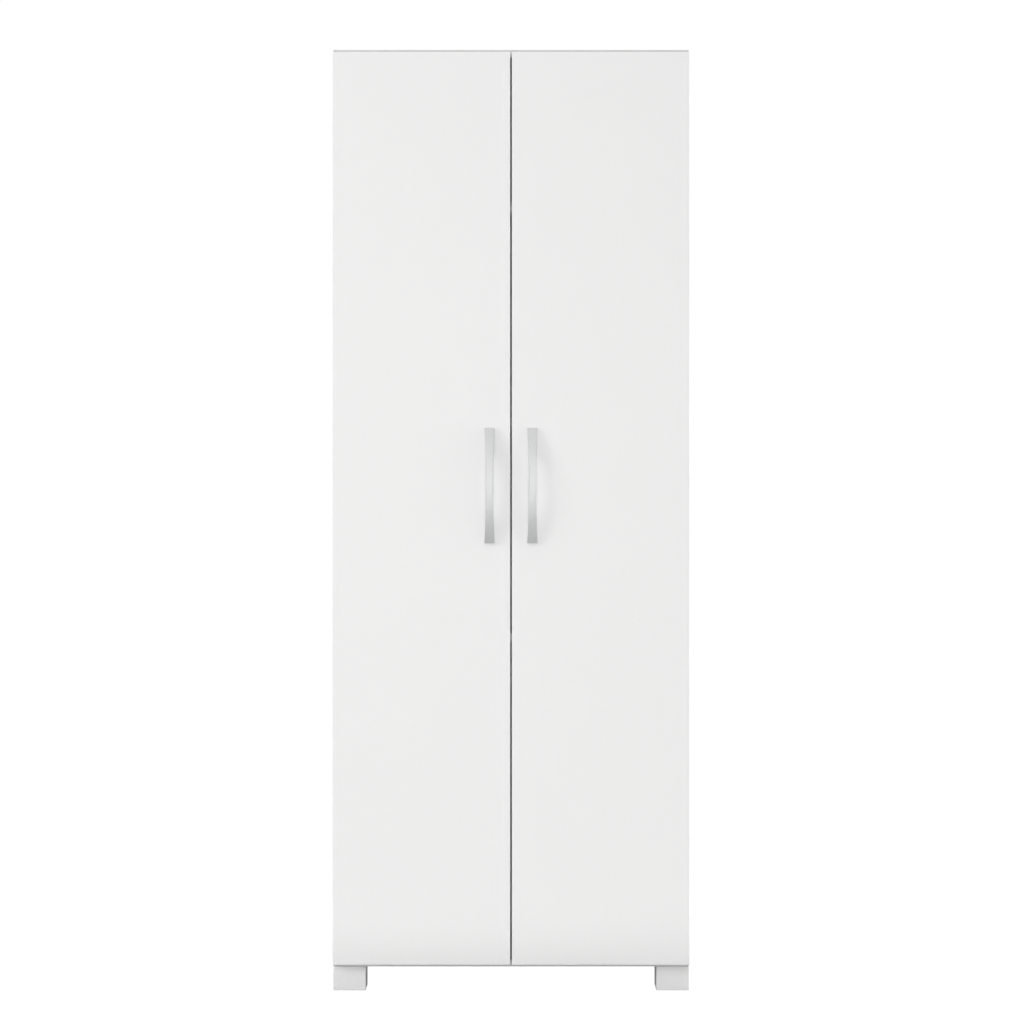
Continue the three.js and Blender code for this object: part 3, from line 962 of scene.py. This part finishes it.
def door_bores(side, sign, front, back):
    """Rods for a door's blind bores, one to a hinge cup, and for its two handle screws."""
    rods = []
    for level in HINGE_LEVELS:
        centre = swing_place(side, level) + Vector((sign * CUP_CENTRE, 0, 0))
        mouth = (centre.x, back + OVERRUN, centre.z)
        bottom = (centre.x, back - CUP_BORE_DEPTH, centre.z)
        rods.append(new_rod("tool", mouth, bottom, CUP_BORE_RADIUS, CUP_SIDES))
    for x, z in handle_screw_places(side):
        ends = ((x, front - OVERRUN, z), (x, back + OVERRUN, z))
        rods.append(new_rod("tool", *ends, HANDLE_BORE_RADIUS, BORE_SIDES))
    return rods


def add_door(side, sign):
    """A door board with its bores for the hinge cups and the handle screws."""
    node = side + "_door"
    low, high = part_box(node)
    door = new_block(node + "_panel", low, high)
    soften(door, DOOR_EDGE, segments=3)
    cut_with(door, door_bores(side, sign, low.y, high.y))
    paint_board(door, finishes["door_band"], low, high)
    paint(door, finishes["door_foil"], lambda face: face.normal.y < -HARDLY_TURNED)
    stand_for(door, "white_board", node)


def add_buffers(side, sign):
    """Two soft buffers on the inner face of a door, near its free corners."""
    buffer = round_cap(
        "buffer", BUFFER_RADIUS, BUFFER_HEIGHT, SCREW_SIDES, BUFFER_ROUNDING, segments=4,
    )
    paint(buffer, finishes["buffer_rubber"])
    low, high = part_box(side + "_door")
    buffers = []
    for z in (low.z + BUFFER_FROM_END, high.z - BUFFER_FROM_END):
        place = (sign * BUFFER_FROM_MIDDLE, high.y, z)
        buffers.append(copied(buffer, "buffer", facing(place, (0, 1, 0))))
    bpy.data.objects.remove(buffer)
    add_trim(joined(side + "_door_buffers", buffers), side + "_door")


def arc_height(rise, half_span, distance):
    """How far an arc stands out at a distance from its middle."""
    radius = (half_span ** 2 + rise ** 2) / (2 * rise)
    return sqrt(radius ** 2 - distance ** 2) - (radius - rise)


def handle_section(along):
    """Width, inner and outer distance from the door, at a height from the handle's middle."""
    projection = HANDLE_PROJECTION - HANDLE_END_HEIGHT
    outer = HANDLE_END_HEIGHT + arc_height(projection, HANDLE_HALF, along)
    inner = HANDLE_SEAT
    if abs(along) < HANDLE_BOW_HALF:
        rise = HANDLE_PROJECTION - HANDLE_GRIP - HANDLE_SEAT
        inner += arc_height(rise, HANDLE_BOW_HALF, along)
    draw_in = arc_height((HANDLE_END_WIDTH - HANDLE_WAIST_WIDTH) / 2, HANDLE_HALF, along)
    return HANDLE_END_WIDTH - 2 * draw_in, inner, outer


def handle_heights():
    """Heights of a handle's sections from its middle, closer together in the bow."""
    lower_foot = evenly(-HANDLE_HALF, -HANDLE_BOW_HALF, HANDLE_FOOT_PITCH)
    bow = evenly(-HANDLE_BOW_HALF, HANDLE_BOW_HALF, 2 * HANDLE_BOW_HALF / HANDLE_BOW_STEPS)
    upper_foot = evenly(HANDLE_BOW_HALF, HANDLE_HALF, HANDLE_FOOT_PITCH)
    return lower_foot[:-1] + bow + upper_foot[1:]


def handle_screw_places(side):
    """Where a handle's two screws are on the front."""
    low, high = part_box(side + "_handle")
    middle = (low + high) / 2
    reach = HANDLE_SCREW_SPACING / 2
    return [(middle.x, middle.z - reach), (middle.x, middle.z + reach)]


def add_handle(side):
    """A bow, extruded from section to section, with rounded edges and two blind screw bores."""
    low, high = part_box(side + "_handle")
    middle = (low + high) / 2
    door_front = high.y + HANDLE_SEAT
    sections = []
    for along in handle_heights():
        width, inner, outer = handle_section(along)
        centre = Vector((middle.x, door_front - (inner + outer) / 2, middle.z + along))
        sections.append((centre, width, outer - inner))
    handle = swept_bar(side + "_handle_bow", sections)
    soften(handle, HANDLE_EDGE, segments=4)
    bores = []
    for x, z in handle_screw_places(side):
        ends = ((x, door_front + OVERRUN, z), (x, door_front - HANDLE_SCREW_DEPTH, z))
        bores.append(new_rod("tool", *ends, HANDLE_BORE_RADIUS, BORE_SIDES))
    cut_with(handle, bores)
    paint(handle, finishes["handle_satin"])
    stand_for(handle, "satin_silver", side + "_handle")


def add_handle_screws(side):
    """The two screws that hold a handle from behind its door, each a head and a shank."""
    _, head_height = SCREW_HEAD_SIZES["handle_screw"]
    for end in ("lower", "upper"):
        node = f"{side}_handle_{end}_screw"
        low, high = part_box(node)
        middle = (low + high) / 2
        head_start = high.y - head_height
        seat = (middle.x, head_start, middle.z)
        head = copied(screw_heads["handle_screw"], "head", facing(seat, (0, 1, 0)))
        tip = (middle.x, low.y, middle.z)
        top = (middle.x, head_start + SHANK_IN_HEAD, middle.z)
        shank = new_rod("shank", tip, top, SHANK_RADIUS, BORE_SIDES)
        soften(shank, SHANK_EDGE)
        paint(shank, finishes["screw_steel"])
        stand_for(joined(node + "_body", [head, shank]), "nickel_steel", node)


def shelf_pin():
    """A pin at the origin: its peg towards +X, in the board, and its flat-topped head outside."""
    head_low = (-PIN_GAP - PIN_HEAD, -PIN_HEAD / 2, PIN_RADIUS - PIN_HEAD_HEIGHT)
    head = new_block("pin", head_low, (-PIN_GAP, PIN_HEAD / 2, PIN_RADIUS))
    soften(head, PIN_EDGE, segments=3)
    peg = new_rod("peg", (-PIN_GAP - OVERRUN, 0, 0), (PIN_REACH, 0, 0), PIN_RADIUS, PIN_SIDES)
    soften(peg, PIN_EDGE)
    cut_with(head, [peg], "UNION")
    paint(head, finishes["hinge_nickel"])
    return head


def add_shelf_pins():
    """Four pins: two in the right side and two, turned round, in the divider."""
    pin = shelf_pin()
    for side, sign in SIDES.items():
        turn = Matrix.Rotation(0 if sign > 0 else pi, 4, "Z")
        for end in ENDS:
            node = f"{side}_{end}_shelf_pin"
            low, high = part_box(node)
            face = high.x - PIN_REACH if sign > 0 else low.x + PIN_REACH
            place = Vector((face, (low.y + high.y) / 2, high.z - PIN_RADIUS))
            piece = copied(pin, node + "_peg", Matrix.Translation(place) @ turn)
            stand_for(piece, "nickel_steel", node)
    bpy.data.objects.remove(pin)


def swing_place(side, level):
    """The middle of a hinge on its door's swing axis."""
    name = side + "_door_swing"
    joint = next(joint for joint in frame["joints"] if joint["name"] == name)
    low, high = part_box(f"{side}_{level}_hinge_cup")
    return Vector((joint["pos_m"][0], joint["pos_m"][1], (low.z + high.z) / 2))


def corner_arc(radius, floor, corner):
    """A cup's profile round the corner from its floor to its wall."""
    return [
        (radius - corner + corner * sin(turn), floor + corner - corner * cos(turn))
        for turn in evenly(0, pi / 2, pi / 2 / CUP_CORNER_STEPS)
    ]


def cup_ears():
    """The flat bar across a cup, whose ends are the ears that take its screws."""
    ears = new_block(
        "ears",
        (EAR_PLACE - EAR_WIDTH / 2, FLANGE_LOW + EAR_LIFT, -EAR_SPAN / 2),
        (EAR_PLACE + EAR_WIDTH / 2, FLANGE_HIGH, EAR_SPAN / 2),
    )
    soften(ears, EAR_CORNER, 8, runs_along(Y))
    soften(ears, EAR_EDGE, 2, lies_at(Y, FLANGE_HIGH))
    return ears


def hinge_cup():
    """The pressed cup with its flange and two ears, and the screws that hold it in the door."""
    outside = [(0, CUP_BOTTOM)] + corner_arc(CUP_RADIUS, CUP_BOTTOM, CUP_CORNER) + [
        (CUP_RADIUS, FLANGE_LOW),
        (FLANGE_RADIUS, FLANGE_LOW),
        (FLANGE_RADIUS, FLANGE_HIGH - FLANGE_EDGE),
        (FLANGE_RADIUS - FLANGE_EDGE, FLANGE_HIGH),
        (0, FLANGE_HIGH),
    ]
    cup = turned("cup", outside, CUP_CENTRE, CUP_SIDES)
    cut_with(cup, [cup_ears()], "UNION")
    floor = CUP_BOTTOM + CUP_WALL
    well = [(0, floor)] + corner_arc(CUP_WELL_RADIUS, floor, CUP_CORNER - CUP_WALL) + [
        (CUP_WELL_RADIUS, FLANGE_HIGH - CUP_RIM),
        (CUP_WELL_RADIUS + CUP_RIM, FLANGE_HIGH),
        (CUP_WELL_RADIUS + CUP_RIM, FLANGE_HIGH + OVERRUN),
        (0, FLANGE_HIGH + OVERRUN),
    ]
    cut_with(cup, [turned("tool", well, CUP_CENTRE, CUP_SIDES)])
    paint(cup, finishes["hinge_nickel"])
    places = [(EAR_PLACE, FLANGE_HIGH, z) for z in (-EAR_SCREW_REACH, EAR_SCREW_REACH)]
    return with_screws(cup, "cup_screw", places, (0, 1, 0))


def hinge_link():
    """The link: an eye round the arm's pin, a bowed strip, and an axle across the cup."""
    along = LINK_END - ARM_PIN
    across = Vector((along.y, -along.x, 0)).normalized()

    def edge_point(share, offset):
        # A parabola, highest in the middle
        bow = 4 * LINK_BOW * share * (1 - share) + offset
        point = ARM_PIN + along * share + across * bow
        return point.x, point.y

    shares = [step / LINK_STEPS for step in range(LINK_STEPS + 1)]
    outline = [edge_point(share, LINK_THICKNESS / 2) for share in shares]
    outline += [edge_point(share, -LINK_THICKNESS / 2) for share in reversed(shares)]
    link = raised("link", outline, LINK_HEIGHT)
    eye = upright_rod(ARM_PIN, LINK_HEIGHT, LINK_EYE_RADIUS, SCREW_SIDES)
    cut_with(link, [eye], "UNION")
    axle = upright_rod(LINK_END, LINK_AXLE_LENGTH, LINK_AXLE_RADIUS, SCREW_SIDES)
    cut_with(link, [axle], "UNION")
    bore = upright_rod(ARM_PIN, 2 * LINK_HEIGHT, LINK_BORE, SCREW_SIDES)
    cut_with(link, [bore])
    paint(link, finishes["hinge_nickel"])
    return link


def arm_outline():
    """The arm seen from above: a round nose, a sloping neck and a body with a bevelled end."""
    nose = [
        (ARM_PIN.x + ARM_NOSE * cos(turn), ARM_PIN.y + ARM_NOSE * sin(turn))
        for turn in evenly(pi, 2 * pi, pi / ARM_NOSE_STEPS)
    ]
    return [(ARM_TOP, ARM_NECK_END)] + nose + [
        (ARM_PIN.x + ARM_NOSE, ARM_NECK_END),
        (ARM_BOTTOM, ARM_BODY_START),
        (ARM_BOTTOM, ARM_TAIL),
        (ARM_TOP + ARM_SHOULDER, ARM_TAIL),
        (ARM_TOP, ARM_TAIL - ARM_SHOULDER),
    ]


def arm_hollows():
    """Tools for the fork's slot, the fixing screw's recess and the setting screw's bore."""
    slot = new_block(
        "tool",
        (ARM_PIN.x - ARM_NOSE - OVERRUN, ARM_PIN.y - ARM_NOSE - OVERRUN, -ARM_SLOT / 2),
        (ARM_PIN.x + ARM_NOSE + OVERRUN, ARM_PIN.y + LINK_EYE_RADIUS + ARM_SLOT_GAP, ARM_SLOT / 2),
    )
    recess = new_block(
        "tool",
        (ARM_TOP - OVERRUN, PLATE_MIDDLE - RECESS_AHEAD, -RECESS_HALF),
        (RECESS_FLOOR, PLATE_MIDDLE + RECESS_BEHIND, RECESS_HALF),
    )
    soften(recess, RECESS_CORNER, 6, runs_along(X))
    mouth = (ARM_TOP - OVERRUN, SETTING_SCREW_PLACE, 0)
    bottom = (RECESS_FLOOR, SETTING_SCREW_PLACE, 0)
    bore = new_rod("tool", mouth, bottom, SETTING_BORE_RADIUS, SCREW_SIDES)
    return [slot, recess, bore]


def hinge_arm():
    """The arm: a forked nose with the link's pin, and a body with its two screws."""
    def behind_neck(edge):
        return (edge.verts[0].co.y + edge.verts[1].co.y) / 2 > ARM_NECK_END

    arm = raised("arm", arm_outline(), ARM_WIDTH)
    soften(arm, ARM_EDGE, 3, behind_neck)
    cut_with(arm, arm_hollows())
    pin = upright_rod(ARM_PIN, ARM_WIDTH - 2 * ARM_PIN_INSET, ARM_PIN_RADIUS, PIN_SIDES)
    cut_with(arm, [pin], "UNION")
    paint(arm, finishes["hinge_nickel"])
    places = [(RECESS_FLOOR, y, 0) for y in (SETTING_SCREW_PLACE, PLATE_MIDDLE)]
    return with_screws(arm, "arm_screw", places, (-1, 0, 0))


def hinge_plate():
    """The mounting plate: two wings on the side board, a rib under the arm, and two screws."""
    plate = new_block(
        "plate",
        (PLATE_LOW, PLATE_MIDDLE - PLATE_WIDTH / 2, -PLATE_SPAN / 2),
        (PLATE_HIGH, PLATE_MIDDLE + PLATE_WIDTH / 2, PLATE_SPAN / 2),
    )
    soften(plate, PLATE_CORNER, 6, runs_along(X))
    soften(plate, PLATE_EDGE, 2, lies_at(X, PLATE_LOW))
    rib = new_block(
        "rib",
        (ARM_BOTTOM + RIB_UNDER_ARM, PLATE_MIDDLE - RIB_LENGTH / 2, -RIB_WIDTH / 2),
        ((PLATE_LOW + PLATE_HIGH) / 2, PLATE_MIDDLE + RIB_LENGTH / 2, RIB_WIDTH / 2),
    )
    soften(rib, RIB_EDGE)
    cut_with(plate, [rib], "UNION")
    paint(plate, finishes["hinge_nickel"])
    places = [(PLATE_LOW, PLATE_MIDDLE, z) for z in (-PLATE_SCREW_REACH, PLATE_SCREW_REACH)]
    return with_screws(plate, "plate_screw", places, (-1, 0, 0))


def add_hinges():
    """Eight hinges. A left one is a right one after half a turn about the depth axis."""
    parts = {"cup": hinge_cup(), "link": hinge_link(), "arm": hinge_arm(), "plate": hinge_plate()}
    for side, sign in SIDES.items():
        turn = Matrix.Rotation(0 if sign > 0 else pi, 4, "Y")
        for level in HINGE_LEVELS:
            matrix = Matrix.Translation(swing_place(side, level)) @ turn
            for part, model in parts.items():
                node = f"{side}_{level}_hinge_{part}"
                piece = copied(model, f"{side}_{level}_{part}_steel", matrix)
                stand_for(piece, "nickel_steel", node)
    for model in parts.values():
        bpy.data.objects.remove(model)


def add_camera():
    """The photograph's camera, and how its picture is toned."""
    bpy.ops.object.camera_add(location=CAMERA_PLACE, rotation=(radians(90), 0, 0))
    camera = bpy.context.active_object
    camera.name = "photo_view"
    camera.data.lens = CAMERA_LENS
    camera.data.sensor_width = SENSOR_WIDTH
    bpy.context.scene.camera = camera
    bpy.context.scene.view_settings.view_transform = "Standard"
    bpy.context.scene.view_settings.exposure = EXPOSURE


def add_lamp():
    """A wide soft light to the left of the camera, turned towards the handles."""
    level = cos(LAMP_RISE)
    away = Vector((-sin(LAMP_TURN) * level, -cos(LAMP_TURN) * level, sin(LAMP_RISE)))
    aim = (-away).to_track_quat("-Z", "Y").to_euler()
    place = LIGHT_TARGET + away * LAMP_DISTANCE
    bpy.ops.object.light_add(type="AREA", location=place, rotation=aim)
    lamp = bpy.context.active_object
    lamp.name = "lamp"
    lamp.data.shape = "RECTANGLE"
    lamp.data.size = LAMP_WIDTH
    lamp.data.size_y = LAMP_HEIGHT
    lamp.data.energy = LAMP_POWER


def room_strength(x, y, z):
    """How bright the room is in a direction. It is brightest straight in front of the doors."""
    towards = 0 - y
    centre = towards.step(*CENTRE_FADE)
    ring = towards.step(*RING_FADE) * (1 - centre)
    behind = y.step(*BEHIND_FADE)
    upper = z.step(*UPPER_FADE) * towards.step(*AHEAD_FADE)
    low_right = x.step(*RIGHT_FADE) * (1 - z.step(*LOW_FADE))
    overhead = z.step(*OVERHEAD_FADE)
    below = (0 - z).step(*BELOW_FADE)
    level = ROOM_SIDE * (1 - ring * ROOM_DIP)
    level += ROOM_BEHIND_GAIN * behind
    level += ROOM_CENTRE_GAIN * centre
    level += ROOM_UPPER_GAIN * upper
    level += ROOM_LOW_RIGHT_GAIN * low_right
    above = level * (1 - (1 - ROOM_OVERHEAD_SHARE) * overhead) * (1 - x * ROOM_SLANT)
    return above * (1 - below) + ROOM_BELOW * below


def light_room():
    """A room that lights the cupboard, and a white backdrop that the camera sees instead."""
    world = bpy.data.worlds.new("studio")
    bpy.context.scene.world = world
    world.use_nodes = True
    room = Nodes(world.node_tree)
    strength = room_strength(*room.axes(room.node("TexCoord", output="Generated")))
    lighting = room.node("Background", {}, {"Color": grey(1), "Strength": strength})
    backdrop = room.node("Background", {}, {"Color": grey(1), "Strength": BACKDROP_GLOW})
    seen = room.node("LightPath", output="Is Camera Ray")
    both = room.node("MixShader", {}, in_order(seen, lighting, backdrop))
    room.add("OutputWorld", {}, {"Surface": both})


def floor_finish():
    """Pale and matt, with a faint glow in front. The camera sees it nearly white, with shadows."""
    material = bpy.data.materials.new("studio_floor")
    material.use_nodes = True
    surface = Nodes(material.node_tree)
    matt = surface.node("BsdfDiffuse", {}, {"Color": grey(FLOOR_TONE)})
    x, y, _ = surface.axes(surface.node("TexCoord", output="Object"))
    in_front = (0 - y).step(*FLOOR_BOUNCE_FADE)
    bounce_colour = surface.blend(in_front, grey(0), grey(1))
    bounce = surface.node("Emission", {}, {"Color": bounce_colour, "Strength": FLOOR_BOUNCE})
    lit = surface.node("AddShader", {}, in_order(matt, bounce))
    glow = surface.node("Emission", {}, {"Color": grey(1), "Strength": FLOOR_GLOW})
    seen = surface.node("LightPath", output="Is Camera Ray")
    rim = (x * x + y * y).step(*FLOOR_RIM_FADE)
    glow_share = rim * (1 - FLOOR_GLOW_SHARE) + FLOOR_GLOW_SHARE
    both = surface.node("MixShader", {}, in_order(seen * glow_share, lit, glow))
    surface.add("OutputMaterial", {}, {"Surface": both})
    return material


def add_floor():
    """A plain pale floor under the feet."""
    bpy.ops.object.select_all(action="DESELECT")
    bpy.ops.mesh.primitive_plane_add(size=FLOOR_SIZE, location=(0, 0, -FLOOR_DROP))
    floor = settled("studio_floor")
    floor.data.materials.append(floor_finish())


add_camera()
light_room()
add_lamp()
add_floor()

FINISH_MAKERS = (
    door_foil,
    board_foil,
    foot_foil_with_painted_light,
    board_band_grey_and_painted_shade,
    door_band,
    chipboard_core,
    hardboard_face,
    hardboard_back,
    strip_plastic,
    cover_plastic,
    buffer_rubber,
    handle_satin,
    hinge_nickel,
    screw_steel,
    nail_steel,
)
finishes = {maker.__name__: maker() for maker in FINISH_MAKERS}
screw_heads = {kind: screw_head(*size) for kind, size in SCREW_HEAD_SIZES.items()}

add_carcass()
add_feet()
add_back()
add_nails()
add_fitting_covers()
for side, sign in SIDES.items():
    add_door(side, sign)
    add_buffers(side, sign)
    add_handle(side)
    add_handle_screws(side)
add_shelf_pins()
add_hinges()
for head in screw_heads.values():
    bpy.data.objects.remove(head)
